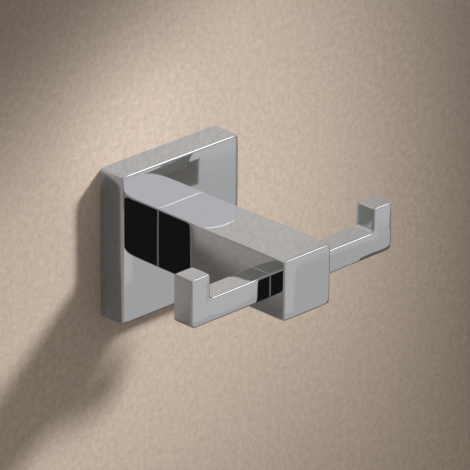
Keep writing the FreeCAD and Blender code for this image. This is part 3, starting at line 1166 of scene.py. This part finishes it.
HANDS = ((-1, "left"), (1, "right"))


class ROBEHOOK_OT_stage(bpy.types.Operator):
    """Makes the wall, the floor, the cards, the lamp, the studio and the camera"""

    bl_idname = "robehook.stage"
    bl_label = "Stage"

    def execute(self, context):
        stage = context.scene.robe_hook_stage
        make_camera()
        make_world()
        make_key_lamp(stage)
        plaster = plaster_with_painted_reflections("plaster_with_painted_glow", stage)
        wall = mesh_object("wall", to_mesh(wall_sheet(), "wall"), plaster)
        bm = bmesh.new()
        drop = Matrix.Translation((0.0, 0.0, FLOOR_HEIGHT))
        ops.create_grid(bm, x_segments=1, y_segments=1, size=FLOOR_HALF, matrix=drop)
        paint = floor_paint("matt_floor_paint", stage.floor)
        floor = mesh_object("floor", to_mesh(bm, "floor"), paint)
        floor.visible_glossy = False
        for name, cloth_name, low, high, heights, size in CLOTHS:
            shades = (getattr(stage, low), getattr(stage, high))
            card = upright_card(name, glowing_cloth(cloth_name, *shades, heights), *size)
        # The scrap, which comes last, is for the metal alone
        card.visible_diffuse = False
        card.visible_shadow = False
        felt = two_sided_flag("grey_glow_and_painted_black", stage.flag, stage.flag_painted_black)
        upright_card("black_flag", felt, *BLACK_FLAG)
        context.scene.view_settings.view_transform = "Standard"
        return {"FINISHED"}


class Finisher:
    """What the operators share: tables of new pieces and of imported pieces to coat."""

    pieces = ()
    coats = ()

    def execute(self, context):
        shape = context.scene.robe_hook_shape
        for name, make, metal_name, node, slot in self.pieces:
            finished_piece(name, make(shape), metal(metal_name), node)
        for node, metal_name in self.coats:
            coat(node, metal(metal_name))
        return {"FINISHED"}


class ROBEHOOK_OT_base(Finisher, bpy.types.Operator):
    """Makes the polished cast base that hides the bracket"""

    bl_idname = "robehook.base"
    bl_label = "Base"
    pieces = (
        ("polished_base", base_cover_mesh, "chrome_on_cast_zinc", "base_cover",
         "chrome_cast"),
    )


class ROBEHOOK_OT_arm(Finisher, bpy.types.Operator):
    """Makes the polished square arm with its tenon and mortises"""

    bl_idname = "robehook.arm"
    bl_label = "Arm"
    pieces = (("polished_arm", arm_mesh, "chrome_on_brass_bar", "arm", "chrome_bar"),)


class ROBEHOOK_OT_hooks(Finisher, bpy.types.Operator):
    """Makes the left and the right hook of bent square bar"""

    bl_idname = "robehook.hooks"
    bl_label = "Hooks"
    pieces = tuple(
        (f"polished_hook_{hand}", partial(hook_mesh, side=side), "chrome_on_brass_bar",
         f"hook_{hand}", "chrome_bar")
        for side, hand in HANDS
    )


class ROBEHOOK_OT_wall_screws(Finisher, bpy.types.Operator):
    """Makes the two wood screws that hold the bracket to the wall"""

    bl_idname = "robehook.wall_screws"
    bl_label = "Wall screws"
    pieces = tuple(
        (f"wood_screw_{hand}", partial(wall_screw_mesh, side=side), "bright_zinc_plate",
         f"wall_screw_{hand}", "zinc_steel")
        for side, hand in HANDS
    )


class ROBEHOOK_OT_arm_screw(Finisher, bpy.types.Operator):
    """Makes the button-headed screw inside the base and finishes its two washers"""

    bl_idname = "robehook.arm_screw"
    bl_label = "Arm screw and washers"
    pieces = (
        ("button_screw", arm_screw_mesh, "bright_zinc_plate", "arm_screw", "zinc_steel"),
    )
    coats = (
        ("clamp_washer", "bright_zinc_plate"),
        ("spring_washer", "phosphated_spring_steel"),
    )


class ROBEHOOK_OT_set_screw(Finisher, bpy.types.Operator):
    """Makes the set screw under the base"""

    bl_idname = "robehook.set_screw"
    bl_label = "Set screw"
    pieces = (
        ("socket_screw", set_screw_mesh, "oiled_black_oxide", "set_screw", "black_steel"),
    )


class ROBEHOOK_OT_bracket(Finisher, bpy.types.Operator):
    """Gives the wall bracket its rolled and plated sheet"""

    bl_idname = "robehook.bracket"
    bl_label = "Wall bracket"
    coats = (("wall_bracket", "zinc_plated_sheet"),)


# The sidebar

class ROBEHOOK_PT_panel(bpy.types.Panel):
    """Sizes, colours and the operators that make the pieces"""

    bl_idname = "ROBEHOOK_PT_panel"
    bl_label = "Robe Hook"
    bl_space_type = "VIEW_3D"
    bl_region_type = "UI"
    bl_category = "Robe Hook"

    def draw(self, context):
        for group_name, group in GROUPS.items():
            box = self.layout.box()
            for name in group.__annotations__:
                box.prop(getattr(context.scene, group_name), name)
        column = self.layout.column(align=True)
        for item in OPERATORS:
            column.operator(item.bl_idname)


OPERATORS = (ROBEHOOK_OT_stage, *Finisher.__subclasses__())
GROUPS = {
    "robe_hook_shape": RobeHookShape,
    "robe_hook_finish": RobeHookFinish,
    "robe_hook_stage": RobeHookStage,
}
CLASSES = (*GROUPS.values(), *OPERATORS, ROBEHOOK_PT_panel)


def register():
    """Registers the classes and the properties on the scene."""
    for item in CLASSES:
        bpy.utils.register_class(item)
    for name, group in GROUPS.items():
        setattr(bpy.types.Scene, name, PointerProperty(type=group))


def unregister():
    """Removes the properties and the classes."""
    for name in GROUPS:
        delattr(bpy.types.Scene, name)
    for item in reversed(CLASSES):
        bpy.utils.unregister_class(item)


def main():
    register()
    for item in OPERATORS:
        getattr(bpy.ops.robehook, item.bl_idname.split(".")[1])()


if __name__ == "__main__":
    main()
